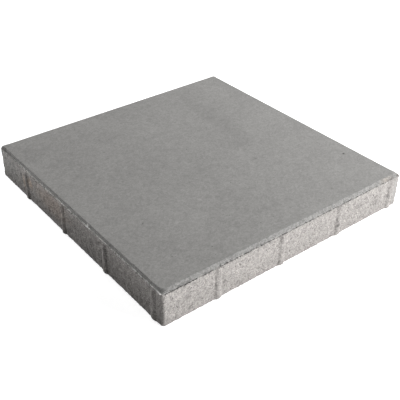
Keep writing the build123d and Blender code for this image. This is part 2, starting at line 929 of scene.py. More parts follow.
@dataclass(frozen=True)
class Row:
    """One ring of points round the slab: how far in, how high, and what it belongs to.

    The reduction makes its corner radii smaller. The depth is that of the relief, the breaks
    say how far it crumbles, and a sharp row is a hard edge in the shading.
    """

    inset: float
    height: float
    reduction: float
    zone: Zone
    depth: float
    breaks: float = 0.0
    sharp: bool = False


@dataclass(frozen=True)
class RingPoint:
    """One point of a ring, on a wall or part of the way round to the next one."""

    place: Vector
    wall: Wall
    along: float
    turn: float = 0.0


@dataclass(frozen=True)
class Pit:
    """A small round pit in the walking face. Metres.

    Its rings of points, each with its share of the radius and its number of points, give
    the mesh its shape. No other point lies within the clearance, a share of the radius too.
    """

    x: float
    y: float
    radius: float
    depth: float
    rings: tuple[tuple[float, int], ...] = ((0.45, 6), (0.8, 10), (1.1, 12), (1.7, 12))
    clearance: float = 2.2

    def points(self) -> list[Vector]:
        """Lists the points that give the mesh the pit's shape.

        Returns:
            Its middle and its rings of points, at height 0.
        """
        points = [Vector((self.x, self.y, 0))]
        for reach, spokes in self.rings:
            radius = reach * self.radius
            for spoke in range(spokes):
                angle = math.tau * (spoke + 0.5 * (reach > 1)) / spokes
                x = self.x + radius * math.cos(angle)
                y = self.y + radius * math.sin(angle)
                points.append(Vector((x, y, 0)))
        return points

    def away(self, point: Vector) -> float:
        """Gives a point's distance from the middle as a share of the radius."""
        return math.hypot(point.x - self.x, point.y - self.y) / self.radius

    def depth_at(self, point: Vector) -> float:
        """Gives the pit's depth at a point, 0 outside it."""
        return self.depth * max(0.0, 1 - self.away(point) ** 3)


@dataclass(frozen=True)
class Notch:
    """A small place where the upper edge of a wall has crumbled away. Metres."""

    wall: Wall
    along: float
    reach: float
    depth: float

    def depth_at(self, wall: Wall, along: float) -> float:
        """Gives the notch's depth at a place along a wall, 0 outside it."""
        share = abs(along - self.along) / self.reach
        return self.depth * max(0.0, 1 - share * share) if wall is self.wall else 0.0


@dataclass
class PavingSlab:
    """The cast slab: its sizes, its closed mesh, its relief and its finishes. Metres.

    A value for each corner belongs to the right-hand end of its wall, in the walls' order.
    """

    thickness: float
    side: float
    corner_radii: tuple[float, float, float, float] = (1.0 * MM, 3.4 * MM, 2.3 * MM, 4.5 * MM)
    crown_radii: tuple[float, float, float, float] = (1.0 * MM, 3.4 * MM, 2.3 * MM, 10 * MM)
    corner_slumps: tuple[float, float, float, float] = (3.2 * MM, 0.6 * MM, 1.4 * MM, 0.6 * MM)
    slump_reach: float = 9 * MM
    slump_spread: float = 0.8
    ledge_fades: tuple[float, float, float, float] = (1.3 * MM, 0.6 * MM, 1.3 * MM, 0.0)
    fade_reach: float = 14 * MM
    arris: float = 0.4 * MM
    arris_rim: float = 4.0
    arris_foot: float = 1.2
    arris_middle: float = 0.3
    facet_width: float = 3.7 * MM
    facet_depth: float = 4.3 * MM
    ledge: float = 1.6 * MM
    ledge_sink: float = 0.25 * MM
    face_edge_radius: float = 0.8 * MM
    rounding_inset: float = 0.1
    rounding_drop: float = 0.17
    face_margin: float = 2.6 * MM
    facet_spread: float = 0.5 * MM
    ribs: RibShape = field(default_factory=RibShape)
    wear_and_shading: dict[Wall, WallWearAndShading] = field(default_factory=dict)
    step: float = 1.55 * MM
    fine_step: float = 0.8 * MM
    row_step: float = 1.3 * MM
    corner_steps: int = 5
    facet_steps: int = 4
    face_grid: float = 4.2 * MM
    bed_grid: float = 3.2 * MM
    rim_gap: float = 0.7
    grid_sway: float = 0.3
    rim_bow: float = 0.01
    wall_relief: float = 0.6 * MM
    edge_relief: float = 0.3 * MM
    ledge_relief: float = 0.4 * MM
    facet_relief: float = 0.15 * MM
    rounding_relief: float = 0.02 * MM
    face_relief: float = 0.05 * MM
    bed_relief: float = 0.8 * MM
    bed_hollow: float = 0.3 * MM
    grain_curve: Curve = (0.0, 0.7, 0.5, -0.4)
    hollow_curve: Curve = (0.38, 0.62, -0.4, 0.75)
    break_curve: Curve = (0.36, 0.6, -1.0, 0.2)
    lip_depth: float = 1.0 * MM
    lip_gap: float = 0.6 * MM
    lip_round: float = 0.1 * MM
    worn_band: float = 2.5 * MM
    pits: tuple[Pit, ...] = ()
    notches: tuple[Notch, ...] = ()
    notch_drop: float = 0.6
    # Painted shade in the notches: how much their colour darkens.
    notch_shade: float = 0.45
    seed: int = 7

    def stations(self) -> list[float]:
        """Lists the distances along a wall at which it has a column of points.

        Returns:
            Distances from the left-hand corner, closer together over each rib.
        """
        margin = max(self.corner_radii)
        last = self.side - margin
        found = [margin]
        while found[-1] < last:
            near = min(abs(found[-1] - place) for place in self.ribs.places)
            found.append(found[-1] + (self.fine_step if near < self.ribs.reach else self.step))
        found[-1] = last
        return found

    def rows(self) -> list[Row]:
        """Lists the rings from the bed face up to the walking face, in order."""
        rows = self.bed_rows() + self.wall_rows() + self.ledge_rows()
        return rows + self.facet_rows() + self.face_rows()

    def bed_rows(self) -> list[Row]:
        """Lists the rings of the bed face's rim and the arris round it.

        Returns:
            The rings in order.
        """
        rim, foot = self.arris_rim * self.arris, self.arris_foot * self.arris
        middle = self.arris_middle * self.arris
        return [
            Row(rim, 0.0, rim / 2, Zone.BED, 0.5 * self.bed_relief),
            Row(foot, 0.0, self.arris, Zone.BED, self.edge_relief, breaks=0.2),
            Row(middle, middle, 0.0, Zone.WALL, self.edge_relief, breaks=0.4),
            Row(0.0, foot, 0.0, Zone.WALL, self.edge_relief, breaks=0.2),
        ]

    def wall_rows(self) -> list[Row]:
        """Lists the rings of the walls, up to their broken upper edge.

        Returns:
            The rings in order.
        """
        low, high = self.arris_foot * self.arris, self.ledge_height - self.lip_gap
        count = round((high - low) / self.row_step)
        rows = []
        for number in range(1, count + 1):
            height = low + (high - low) * number / count
            worn = 0.6 * max(0.0, 1 - (high - height) / self.worn_band)
            rows.append(Row(0.0, height, 0.0, Zone.WALL, self.wall_relief, breaks=worn))
        top = self.ledge_height - self.lip_round
        edge = Row(self.lip_round, top, 0.0, Zone.WALL, self.wall_relief, breaks=0.9, sharp=True)
        return rows + [edge]

    def ledge_rows(self) -> list[Row]:
        """Lists the rings of the ledge, which sinks where it meets the facet.

        Returns:
            The rings in order.
        """
        level, inner, relief = self.ledge_height, self.crown_reduction, self.ledge_relief
        middle, foot = level - 0.6 * self.ledge_sink, level - self.ledge_sink
        return [
            Row(0.35 * self.ledge, level, 0.0, Zone.LEDGE, relief, breaks=0.6),
            Row(0.7 * self.ledge, middle, inner, Zone.LEDGE, relief, breaks=0.5),
            Row(0.98 * self.ledge, foot, inner, Zone.LEDGE, 0.6 * relief, breaks=0.4, sharp=True),
        ]

    def facet_rows(self) -> list[Row]:
        """Lists the rings of the facet, up to where its rounded upper edge starts.

        Returns:
            The rings in order.
        """
        run, inner = self.facet_width - self.ledge, self.crown_reduction
        end = 1 - self.edge_tangent / math.hypot(run, self.facet_depth)
        rows = []
        for number in range(1, self.facet_steps + 1):
            share = end * number / self.facet_steps
            inset, height = self.ledge + run * share, self.ledge_height + self.facet_depth * share
            relief = self.facet_relief if number < self.facet_steps else self.rounding_relief
            rows.append(Row(inset, height, inner, Zone.FACET, relief, breaks=0.3 * (1 - share)))
        return rows

    def face_rows(self) -> list[Row]:
        """Lists the rings that round the edge of the walking face and start the face.

        Returns:
            The rings in order.
        """
        inner, reach, relief = self.crown_reduction, self.edge_tangent, self.rounding_relief
        start, level = self.facet_width, self.thickness
        inset, drop = self.rounding_inset * reach, self.rounding_drop * reach
        return [
            Row(start + inset, level - drop, inner, Zone.FACET, relief),
            Row(start + reach, level, inner, Zone.FACE, relief),
            Row(start + 2 * reach, level, inner, Zone.FACE, relief),
            Row(start + self.face_margin, level, inner, Zone.FACE, self.face_relief),
        ]

    @property
    def ledge_height(self) -> float:
        """Height of the ledge above the bed face."""
        return self.thickness - self.facet_depth

    @property
    def crown_reduction(self) -> float:
        """How much smaller the corner radii get inside the ledge."""
        return 0.5 * self.ledge

    @property
    def edge_tangent(self) -> float:
        """How far the rounding of the walking face's edge reaches along the face and the facet."""
        slope = math.atan2(self.facet_depth, self.facet_width - self.ledge)
        return self.face_edge_radius * math.tan(slope / 2)

    def ring(self, row: Row, stations: list[float]) -> list[RingPoint]:
        """Places one ring of points, wall after wall, counter-clockwise from above.

        Args:
            row: The ring's place in the slab's profile.
            stations: The distances along a wall.

        Returns:
            The points.
        """
        half = self.side / 2
        first, last = stations[0], stations[-1]
        share = row.height / (self.ledge_height - self.ribs.head_gap)
        lift = min(1.0, max(0.0, (row.height - self.ledge_height) / self.facet_depth))
        points: list[RingPoint] = []
        for wall in Wall:
            turn = Matrix.Rotation(math.radians(90 * wall.value), 3, "Z")
            rise, next_rise = (self.wear_and_shading[w].ledge_rise for w in (wall, wall.next))
            shift = self.wear_and_shading[wall].rib_shift
            radii = [blend(*pair, lift) for pair in zip(self.corner_radii, self.crown_radii)]
            start = radii[wall.value - 1] - row.reduction
            end = radii[wall.value] - row.reduction
            low, high = row.inset + start - half, half - row.inset - end
            for station in stations:
                along = low + (high - low) * (station - first) / (last - first)
                bite = self.bite(wall, along + half, row)
                out = half - row.inset - bite
                if row.zone is Zone.WALL:
                    place = along + half - shift
                    out += max(self.ribs.height(place - rib, share) for rib in self.ribs.places)
                point = turn @ Vector((along, -out, row.height - self.notch_drop * bite))
                point = self.settle(point, row, lift, rise)
                points.append(RingPoint(point, wall, along + half))
            for number in range(1, self.corner_steps + 1):
                part = number / (self.corner_steps + 1)
                angle = math.radians(90 * part - 90)
                x, y = high + end * math.cos(angle), -high + end * math.sin(angle)
                corner = turn @ Vector((x, y, row.height))
                corner = self.settle(corner, row, lift, blend(rise, next_rise, part))
                points.append(RingPoint(corner, wall, self.side, part))
        return points

    def settle(self, point: Vector, row: Row, lift: float, rise: float) -> Vector:
        """Makes the crown uneven, as the photograph shows it.

        The front facet is a little wider, the left one narrower, the ledge lies higher or
        lower and fades away towards some corners, and the crown is worn down at them.

        Args:
            point: A point of a ring.
            row: The ring.
            lift: 0 on the ledge and 1 at the walking face.
            rise: How far the ledge lies above its usual height.

        Returns:
            The point, moved.
        """
        most = self.facet_spread * lift / self.side
        half = self.side / 2
        up = rise * (1 - lift) * min(1.0, point.z / self.ledge_height)
        moved = point + Vector(((point.x - half) * most, (half - point.y) * most, up))
        if row.height < self.ledge_height - self.lip_depth:
            return moved
        to_rim = (self.facet_width + self.face_margin - row.inset) / self.face_margin
        share = min(1.0, row.inset / self.ledge, to_rim)
        corners = ((1, -1), (1, 1), (-1, 1), (-1, -1))
        for fade, slump, (x, y) in zip(self.ledge_fades, self.corner_slumps, corners):
            away = math.hypot(point.x - x * half, point.y - y * half)
            pull = share * fade * max(0.0, 1 - (away / self.fade_reach) ** 2)
            down = share * slump * lift * max(0.0, 1 - (away / self.slump_reach) ** 2)
            pull += self.slump_spread * down
            moved += Vector((x * pull, y * pull, -down))
        return moved

    def tone(self, row: Row, point: RingPoint) -> float:
        """Gives a ring's point its tone, which paints light and shade and darkens the ribs.

        Args:
            row: The ring.
            point: The point.

        Returns:
            The tone.
        """
        here = self.wear_and_shading[point.wall]
        if row.zone in (Zone.WALL, Zone.BED):
            now = here.wall_tone(point.along / self.side, row.height)
            for rib in self.ribs.places:
                offset = point.along - rib - here.rib_shift
                if abs(offset) < self.ribs.reach:
                    now *= here.rib_tone(offset, self.ribs.foot_width / 2, row.height)
            after = self.wear_and_shading[point.wall.next].wall_tone(0.0, row.height)
            # Painted highlight on the wall's top edge.
            if row.height > self.ledge_height - self.lip_depth:
                now, after = now * here.lip, after * self.wear_and_shading[point.wall.next].lip
        elif row.zone is Zone.LEDGE:
            # Painted highlight on the ledge.
            now = blend(*here.ledge, point.along / self.side)
            after = self.wear_and_shading[point.wall.next].ledge[0]
        else:
            now, after = here.facet, self.wear_and_shading[point.wall.next].facet
        bite = self.bite(point.wall, point.along, row)
        # The notches get painted shade.
        return blend(now, after, point.turn) * (1 - self.notch_shade * min(1.0, bite / MM))

    def bite(self, wall: Wall, along: float, row: Row) -> float:
        """Says how deep the notches cut into the wall's upper edge and the ledge.

        Args:
            wall: The wall.
            along: The place along it.
            row: The ring.

        Returns:
            The depth in metres.
        """
        if abs(row.height - self.ledge_height) > self.lip_depth:
            return 0.0
        return max((notch.depth_at(wall, along) for notch in self.notches), default=0.0)

    def scattered(self, inset: float, grid: float, keep_clear: tuple[Pit, ...]) -> list[Vector]:
        """Spreads points over a flat face, a little off a square grid.

        Args:
            inset: How far in from the walls the points start.
            grid: Their distance.
            keep_clear: Pits whose places stay free.

        Returns:
            The points, at height 0.
        """
        chance = random.Random(self.seed)
        half = self.side / 2 - inset
        count = round(2 * half / grid)
        places = [half * (2 * (number + 0.5) / count - 1) for number in range(count)]
        sway = self.grid_sway * grid
        points = []
        for x in places:
            for y in places:
                point = Vector((x + chance.uniform(-sway, sway), y + chance.uniform(-sway, sway), 0))
                if all(pit.away(point) > pit.clearance for pit in keep_clear):
                    points.append(point)
        for pit in keep_clear:
            points += pit.points()
        return points

    def cover(
        self, mesh: bmesh.types.BMesh, rim: list[bmesh.types.BMVert], points: list[Vector], up: bool
    ) -> tuple[list[bmesh.types.BMVert], list[bmesh.types.BMFace]]:
        """Closes a flat face inside its rim with triangles through scattered points.

        Args:
            mesh: The mesh that gets them.
            rim: The rim's vertices, in order.
            points: Points inside the rim.
            up: Whether the triangles face up.

        Returns:
            The vertices and faces added.
        """
        flat = [self.bowed(v.co) for v in rim] + [p.to_2d() for p in points]
        inside_only, closeness = 1, 1e-8
        outline = list(range(len(rim)))
        found = delaunay_2d_cdt(flat, [], [outline], inside_only, closeness, True)
        places, triangles, sources = found[0], found[2], found[3]
        made = []
        vertices = []
        for place, source in zip(places, sources):
            if source and source[0] < len(rim):
                vertices.append(rim[source[0]])
            else:
                vertices.append(mesh.verts.new((place.x, place.y, rim[0].co.z)))
                made.append(vertices[-1])
        faces = []
        for triangle in triangles:
            corners = [vertices[i] for i in triangle]
            faces.append(mesh.faces.new(corners if up else corners[::-1]))
        return made, faces

    def bowed(self, point: Vector) -> Vector:
        """Bows a rim outwards, so that triangles never lie along its straight sides.

        Args:
            point: A point of the rim.

        Returns:
            The place that the triangulation uses for it.
        """
        half = self.side / 2
        x, y = point.x / half, point.y / half
        bow = self.rim_bow
        return Vector((point.x * (1 + bow * (1 - y * y)), point.y * (1 + bow * (1 - x * x))))

    def add_ring(
        self, mesh: bmesh.types.BMesh, row: Row, stations: list[float]
    ) -> list[bmesh.types.BMVert]:
        """Adds one ring of vertices, with its relief, its breaks and its tone.

        Args:
            mesh: The mesh that gets it.
            row: The ring's place in the slab's profile.
            stations: The distances along a wall.

        Returns:
            The vertices, in order.
        """
        layers = mesh.verts.layers.float
        ring = []
        for point in self.ring(row, stations):
            here, after = self.wear_and_shading[point.wall], self.wear_and_shading[point.wall.next]
            wear = blend(here.wear_at(point.along / self.side), after.wear_at(0.0), point.turn)
            vertex = mesh.verts.new(point.place)
            vertex[layers[Layer.DEPTH.value]] = row.depth
            vertex[layers[Layer.BREAKS.value]] = row.breaks * wear
            vertex[layers[Layer.TONE.value]] = self.tone(row, point)
            ring.append(vertex)
        return ring

    def close_face(
        self, mesh: bmesh.types.BMesh, rim: list[bmesh.types.BMVert], row: Row
    ) -> None:
        """Closes the walking face, with its pits, or the bed face, which is a little hollow.

        Args:
            mesh: The mesh.
            rim: The rim's vertices, in order.
            row: The rim's row.
        """
        up = row.zone is Zone.FACE
        grid, relief = (self.face_grid, self.face_relief) if up else (self.bed_grid, self.bed_relief)
        pits = self.pits if up else ()
        points = self.scattered(row.inset + self.rim_gap * grid, grid, pits)
        vertices, faces = self.cover(mesh, rim, points, up)
        for vertex in vertices:
            vertex[mesh.verts.layers.float[Layer.DEPTH.value]] = relief
            vertex[mesh.verts.layers.float[Layer.TONE.value]] = 1.0
            if up:
                vertex.co.z -= max((pit.depth_at(vertex.co) for pit in pits), default=0.0)
            else:
                vertex.co.z += self.bed_hollow
        for face in faces:
            face[mesh.faces.layers.int[Layer.ZONE.value]] = row.zone.value

    def build_mesh(self) -> bpy.types.Object:
        """Builds the closed mesh without its fine relief.

        Returns:
            The object, with the zones and the relief's depths as attributes.
        """
        mesh = bmesh.new()
        mesh.faces.layers.int.new(Layer.ZONE.value)
        for layer in (Layer.DEPTH, Layer.BREAKS, Layer.TONE):
            mesh.verts.layers.float.new(layer.value)
        stations, rows = self.stations(), self.rows()
        rings = [self.add_ring(mesh, row, stations) for row in rows]
        for number, row in enumerate(rows[1:]):
            starts_face = row.zone is Zone.FACE and rows[number].zone is not Zone.FACE
            zone = Zone.FACET if starts_face else row.zone
            lower, upper = rings[number : number + 2]
            for corners in zip(lower, lower[1:] + lower[:1], upper[1:] + upper[:1], upper):
                face = mesh.faces.new(corners)
                face[mesh.faces.layers.int[Layer.ZONE.value]] = zone.value
        for row, ring in zip(rows, rings):
            if row.sharp:
                for pair in zip(ring, ring[1:] + ring[:1]):
                    mesh.edges.get(pair).smooth = False
        self.close_face(mesh, rings[-1], rows[-1])
        self.close_face(mesh, rings[0], rows[0])
        for face in mesh.faces:
            face.smooth = True
        data = bpy.data.meshes.new("cast_slab")
        mesh.to_mesh(data)
        mesh.free()
        return add_object("cast_slab", data)

    def relief_tree(self, finishes: dict[Zone, bpy.types.Material]) -> bpy.types.GeometryNodeTree:
        """Builds the tree that roughens the skin and gives each zone its finish.

        Args:
            finishes: Each zone's material.

        Returns:
            The geometry node tree.
        """
        sheet, given, result = open_group(
            "cast_relief",
            "GeometryNodeTree",
            {
                "Geometry": (Plug.SHAPE, None),
                "Grain": (Plug.NUMBER, 2.6 * MM),
                "Hollow": (Plug.NUMBER, 6 * MM),
                "Break Length": (Plug.NUMBER, 3.4 * MM),
                "Break Depth": (Plug.NUMBER, 1.1 * MM),
                "Low": (Plug.VECTOR, None),
                "High": (Plug.VECTOR, None),
            },
            {"Geometry": Plug.SHAPE},
        )
        place = sheet.node("GeometryNodeInputPosition").outputs[0]
        normal = sheet.node("GeometryNodeInputNormal").outputs[0]
        depth = sheet.read(Layer.DEPTH)
        breaks = sheet.read(Layer.BREAKS)

        grain = sheet.cells(place, given.outputs["Grain"]).outputs["Distance"]
        grain = sheet.remap(grain, *self.grain_curve)
        hollows = sheet.noise(place, given.outputs["Hollow"], detail=3.0, rough=0.6)
        hollows = sheet.remap(hollows, *self.hollow_curve)
        surface = sheet.math("MULTIPLY", sheet.math("ADD", grain, hollows), depth)

        jagged = sheet.noise(place, given.outputs["Break Length"], detail=4.0, rough=0.7)
        jagged = sheet.remap(jagged, *self.break_curve)
        edge = sheet.math("MULTIPLY", jagged, given.outputs["Break Depth"])
        edge = sheet.math("MULTIPLY", edge, breaks)
        offset = sheet.vector("SCALE", normal, sheet.math("ADD", surface, edge))
        moved = sheet.vector("ADD", place, offset)
        moved = sheet.between(moved, given.outputs["Low"], given.outputs["High"])

        inputs = {"Geometry": given.outputs["Geometry"], "Position": moved}
        roughened = sheet.wired("GeometryNodeSetPosition", inputs)
        realized = sheet.wired("GeometryNodeRealizeInstances", {0: roughened.outputs[0]})
        shape = realized.outputs[0]
        # The first finish goes on the whole skin, so that no empty slot stays.
        for number, (zone, material) in enumerate(finishes.items()):
            inputs = {"Geometry": shape, "Material": material}
            if number:
                sides = {2: sheet.read(Layer.ZONE, "INT"), 3: zone.value}
                same = sheet.wired(
                    "FunctionNodeCompare", sides, data_type="INT", operation="EQUAL"
                )
                inputs["Selection"] = same.outputs[0]
            dressed = sheet.wired("GeometryNodeSetMaterial", inputs)
            shape = dressed.outputs[0]
        sheet.feed(result.inputs["Geometry"], shape)
        return sheet.tree

    def build(self, finishes: dict[Zone, bpy.types.Material]) -> bpy.types.Object:
        """Builds the finished slab and ties it to the frame.

        Args:
            finishes: Each zone's material.

        Returns:
            The slab's object.
        """
        piece = self.build_mesh()
        run_nodes(piece, self.relief_tree(finishes), {"Low": cad_low, "High": cad_high})
        tie(piece)
        return piece


@dataclass(frozen=True)
class StoneScatter:
    """Small stones that stand a little out of one part of the slab's skin. Metres.

    The density is in stones per square metre. The shades are those of the darkest and the
    lightest stone, against the skin round them.
    """

    name: str
    zone: Zone
    density: float
    radii: tuple[float, float]
    sunk: float
    shades: tuple[float, float]
    by_wear: bool = False
    seed: int = 3

    def tree(self, finish: bpy.types.Material, reach: float) -> bpy.types.GeometryNodeTree:
        """Builds the tree that strews the stones.

        Args:
            finish: The stones' material.
            reach: How far from the middle of the slab they may lie, which leaves out the ribs.

        Returns:
            The geometry node tree.
        """
        sheet, given, result = open_group(
            self.name,
            "GeometryNodeTree",
            {
                "Geometry": (Plug.SHAPE, None),
                "Density": (Plug.NUMBER, 1000.0),
                "Smallest": (Plug.VECTOR, None),
                "Largest": (Plug.VECTOR, None),
                "Darkest": (Plug.NUMBER, 1.0),
                "Lightest": (Plug.NUMBER, 1.0),
                "Sunk": (Plug.NUMBER, 0.0),
                "Seed": (Plug.WHOLE, 0),
                "Low": (Plug.VECTOR, None),
                "High": (Plug.VECTOR, None),
            },
            {"Geometry": Plug.SHAPE},
        )
        place = sheet.node("GeometryNodeInputPosition").outputs[0]
        inputs = {
            "Mesh": given.outputs["Geometry"],
            "Density": self.crowding(sheet, given.outputs["Density"], place, reach),
            "Seed": given.outputs["Seed"],
        }
        strewn = sheet.wired(
            "GeometryNodeDistributePointsOnFaces", inputs, distribute_method="RANDOM"
        )
        inwards = sheet.math("MULTIPLY", given.outputs["Sunk"], -1.0)
        offset = sheet.vector("SCALE", strewn.outputs["Normal"], inwards)
        inputs = {"Geometry": strewn.outputs["Points"], "Offset": offset}
        bedded = sheet.wired("GeometryNodeSetPosition", inputs)
        shade = sheet.chance("FLOAT", given.outputs["Darkest"], given.outputs["Lightest"], 1)
        tone = sheet.math("MULTIPLY", sheet.read(Layer.TONE), shade)
        inputs = {"Geometry": bedded.outputs[0], "Name": Layer.TONE.value, "Value": tone}
        toned = sheet.wired(
            "GeometryNodeStoreNamedAttribute", inputs, data_type="FLOAT", domain="POINT"
        )
        stone = sheet.wired("GeometryNodeMeshIcoSphere", {"Radius": 1.0, "Subdivisions": 1})
        smallest, largest = given.outputs["Smallest"], given.outputs["Largest"]
        inputs = {
            "Points": toned.outputs[0],
            "Instance": stone.outputs["Mesh"],
            "Rotation": sheet.chance("FLOAT_VECTOR", (0.0, 0.0, 0.0), (math.tau,) * 3, 2),
            "Scale": sheet.chance("FLOAT_VECTOR", smallest, largest, 3),
        }
        placed = sheet.wired("GeometryNodeInstanceOnPoints", inputs)
        realized = sheet.wired("GeometryNodeRealizeInstances", {0: placed.outputs[0]})
        kept = sheet.between(place, given.outputs["Low"], given.outputs["High"])
        inputs = {"Geometry": realized.outputs[0], "Position": kept}
        inside = sheet.wired("GeometryNodeSetPosition", inputs)
        smooth = sheet.wired("GeometryNodeSetShadeSmooth", {"Geometry": inside.outputs[0]})
        inputs = {"Geometry": smooth.outputs[0], "Material": finish}
        dressed = sheet.wired("GeometryNodeSetMaterial", inputs)
        sheet.feed(result.inputs["Geometry"], dressed.outputs[0])
        return sheet.tree

    def crowding(
        self, sheet: Sheet, density: bpy.types.NodeSocket, place: bpy.types.NodeSocket, reach: float
    ) -> bpy.types.NodeSocket:
        """Works out how densely the stones lie at each place, which is only in their own zone.

        Args:
            sheet: The tree.
            density: The density where they lie.
            place: The position.
            reach: How far from the middle of the slab they may lie.

        Returns:
            The density there.
        """
        away = sheet.wired("ShaderNodeSeparateXYZ", {0: sheet.vector("ABSOLUTE", place)})
        farthest = sheet.math("MAXIMUM", away.outputs[0], away.outputs[1])
        here = sheet.math("COMPARE", sheet.read(Layer.ZONE, "INT"), self.zone.value, 0.5)
        here = sheet.math("MULTIPLY", here, sheet.math("LESS_THAN", farthest, reach))
        density = sheet.math("MULTIPLY", density, here)
        if self.by_wear:
            density = sheet.math("MULTIPLY", density, sheet.read(Layer.BREAKS))
        return density

    def build(
        self, skin: bpy.types.Object, finish: bpy.types.Material, reach: float
    ) -> bpy.types.Object:
        """Strews the stones over the slab and ties them to the frame.

        Args:
            skin: The slab.
            finish: The stones' material.
            reach: How far from the middle of the slab they may lie.

        Returns:
            The stones' object.
        """
        piece = add_object(self.name, skin.data.copy())
        values = {
            "Density": self.density,
            "Smallest": (self.radii[0],) * 3,
            "Largest": (self.radii[1],) * 3,
            "Darkest": self.shades[0],
            "Lightest": self.shades[1],
            "Sunk": self.sunk,
            "Seed": self.seed,
            "Low": cad_low,
            "High": cad_high,
        }
        run_nodes(piece, self.tree(finish, reach), values)
        tie(piece)
        return piece


@dataclass(frozen=True)
class Floor:
    """The plain pale floor."""

    half: float = 6.0
    drop: float = 0.3 * MM
    albedo: float = 0.8
    glow: float = 0.73

    def build(self) -> bpy.types.Object:
        """Builds the floor, which is seen a little brighter than it lights the slab.

        Returns:
            The floor's object.
        """
        data = bpy.data.meshes.new("floor")
        h, z = self.half, -self.drop
        data.from_pydata([(-h, -h, z), (h, -h, z), (h, h, z), (-h, h, z)], [], [(0, 1, 2, 3)])
        floor = add_object("floor", data)
        material, sheet = new_material("pale_floor")
        colour = (self.albedo, self.albedo, self.albedo, 1)
        matt = sheet.wired("ShaderNodeBsdfDiffuse", {"Color": colour})
        strength = sheet.math("MULTIPLY", sheet.seen(), self.glow)
        glow = sheet.wired("ShaderNodeEmission", {"Strength": strength})
        both = sheet.wired("ShaderNodeAddShader", {0: matt.outputs[0], 1: glow.outputs[0]})
        sheet.wired("ShaderNodeOutputMaterial", {"Surface": both.outputs[0]})
        data.materials.append(material)
        return floor


@dataclass(frozen=True)
class SoftLamp:
    """A square studio lamp that points at the slab. Metres and watts."""

    name: str
    place: tuple[float, float, float]
    size: float
    power: float

    def build(self) -> bpy.types.Object:
        """Builds the lamp.

        Returns:
            The lamp's object.
        """
        data = bpy.data.lights.new(self.name, "AREA")
        data.shape = "SQUARE"
        data.size = self.size
        data.energy = self.power
        lamp = add_object(self.name, data)
        lamp.location = self.place
        lamp.rotation_mode = "QUATERNION"
        lamp.rotation_quaternion = Vector(self.place).to_track_quat("Z", "Y")
        return lamp


@dataclass(frozen=True)
class StudioCamera:
    """The camera, at the photograph's place. Metres, degrees, and millimetres of lens."""

    azimuth: float = -37.713
    elevation: float = 34.405
    roll: float = 0.144
    target: tuple[float, float] = (-20.02 * MM, -14.27 * MM)
    distance: float = 0.99661
    sensor: float = 36.0
    lens: float = 63.591
    clip: tuple[float, float] = (0.05, 50.0)
    shift: tuple[float, float] = (0.0279, -0.0057)

    def build(self) -> bpy.types.Object:
        """Builds the camera.

        Returns:
            The camera's object.
        """
        data = bpy.data.cameras.new("camera")
        data.sensor_width, data.lens = self.sensor, self.lens
        data.shift_x, data.shift_y = self.shift
        data.clip_start, data.clip_end = self.clip
        camera = add_object("camera", data)
        turn, rise = math.radians(self.azimuth), math.radians(self.elevation)
        level = math.cos(rise)
        back = Vector((math.sin(turn) * level, -math.cos(turn) * level, math.sin(rise)))
        right = Vector((0, 0, 1)).cross(back).normalized()
        up = back.cross(right)
        lean = math.radians(self.roll)
        across = right * math.cos(lean) + up * math.sin(lean)
        upward = up * math.cos(lean) - right * math.sin(lean)
        axes = Matrix((across, upward, back)).transposed()
        place = Vector((*self.target, 0)) + back * self.distance
        camera.matrix_world = Matrix.Translation(place) @ axes.to_4x4()
        bpy.context.scene.camera = camera
        return camera


@dataclass(frozen=True)
class Studio:
    """The floor, the soft lamps, the sky and the camera."""

    floor: Floor = field(default_factory=Floor)
    camera: StudioCamera = field(default_factory=StudioCamera)
    lamps: tuple[SoftLamp, ...] = (
        SoftLamp("front_softbox", (1.0, -1.5, 0.7), 1.0, 46.0),
        SoftLamp("right_softbox", (1.3, 0.2, 0.9), 0.8, 15.0),
        SoftLamp("back_softbox", (-0.6, 1.7, 1.0), 1.2, 29.0),
    )
    sky: float = 0.04

    def build(self) -> None:
        """Builds everything round the slab."""
        self.floor.build()
        for lamp in self.lamps:
            lamp.build()
        world = bpy.data.worlds.new("studio")
        bpy.context.scene.world = world
        world.use_nodes = True
        sheet = Sheet(world.node_tree)
        sheet.tree.nodes.clear()
        strength = sheet.math("ADD", self.sky, sheet.math("MULTIPLY", sheet.seen(), 1.0 - self.sky))
        background = sheet.wired("ShaderNodeBackground", {"Strength": strength})
        sheet.wired("ShaderNodeOutputWorld", {"Surface": background.outputs[0]})
        self.camera.build()


def face_marks() -> tuple[Mark, ...]:
    """Lists the press marks, stains and darkened pits of the walking face.

    Returns:
        The marks.
    """
    on = Mark.on_face
    return (
        on(100, 70, 26, 120, -0.07),
        on(75, -5, 24, 22, -0.06),
        on(-176, 150, 18, 28, -0.07),
        on(-10, 84, 38, 7, -0.07),
        on(88, 83, 11, 6, -0.07),
        on(-5, -30, 32, 6, -0.06),
        on(-25, -96, 26, 8, -0.06),
        on(-4, -150, 32, 6, -0.08),
        on(-50, 120, 60, 20, -0.03),
        on(66, -51, 9, 4, -0.14),
        on(88, -81, 11, 11, -0.08),
        on(-143.5, -81.5, 2.6, 2.6, -0.2),
        on(176.4, -117.3, 2.8, 2.8, -0.5, ragged=0.3),
        on(97, -169, 3, 3, -0.15),
        on(118, -167, 3, 3, -0.12),
        on(-144, -171, 3, 3, -0.15),
        on(-56, -84, 4, 4, 0.12),
        on(-80, -190, 4, 3, 0.12),
        on(20, -175, 4, 4, 0.1),
        on(-134, -144, 4, 4, 0.09),
        on(-107, -3, 4, 4, 0.07),
        on(-193, 189, 6, 5, -0.18),
        on(116, -153, 5, 4, 0.07),
        on(8, 92, 5, 5, 0.07),
        on(137, -146, 24, 28, 0.06),
        on(160, 148, 28, 30, 0.05),
        on(-137, 15, 8, 8, 0.07),
        on(-109, -107, 6, 5, 0.07),
        on(-158, -154, 5, 5, 0.09),
        on(-110, -180, 6, 5, 0.08),
    )


